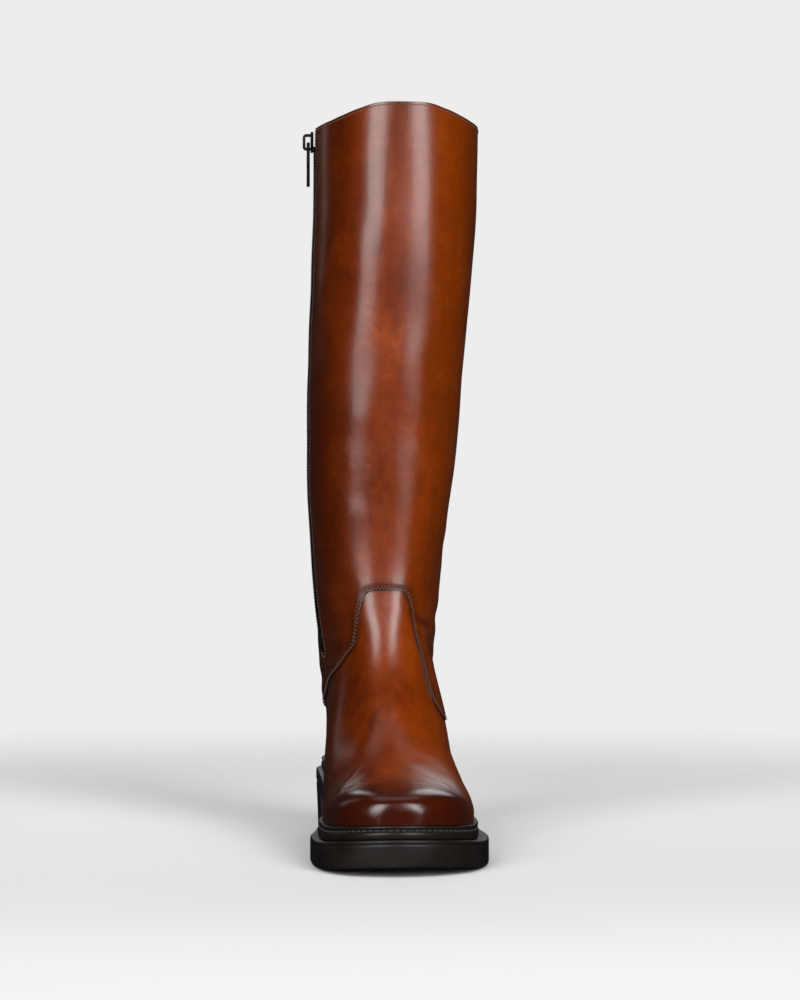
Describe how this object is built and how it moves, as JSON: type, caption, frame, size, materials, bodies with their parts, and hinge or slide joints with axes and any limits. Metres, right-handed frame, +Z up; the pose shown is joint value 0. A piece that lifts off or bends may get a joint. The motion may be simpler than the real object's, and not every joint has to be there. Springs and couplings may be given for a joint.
{
  "type": "knee-high boot",
  "caption": "Left knee-high leather boot, hollow, on a welted rubber sole with a low block heel, with a side zip whose pull swings.",
  "frame": {"origin": "middle of the heel's ground face", "axes": "+Z up along the shaft, toe towards -Y, +X towards the boot's outer side (a left boot), -X towards the zip"},
  "size_m": [0.1128, 0.2858, 0.463],
  "materials": {
    "upper_leather": "burnished calf, semi-gloss",
    "insole_leather": "matt lining leather",
    "outsole_rubber": "satin moulded rubber",
    "welt_rubber": "satin, stitched",
    "tape_fabric": "woven tape",
    "zip_metal": "dark gunmetal"
  },
  "bodies": {
    "boot": {"outsole": "outsole_rubber", "heel": "outsole_rubber", "welt": "welt_rubber", "insole": "insole_leather", "upper": "upper_leather", "zip_tape": "tape_fabric", "zip_chain": "zip_metal", "zip_slider": "zip_metal"},
    "pull": {"zip_pull": "zip_metal"}
  },
  "joints": [
    {"name": "pull_swing", "type": "hinge", "parent": "boot", "child": "pull", "pos_m": [-0.0452, -0.04014, 0.4433], "axis": [0, 1, 0], "range_deg": [0, 160]}
  ]
}
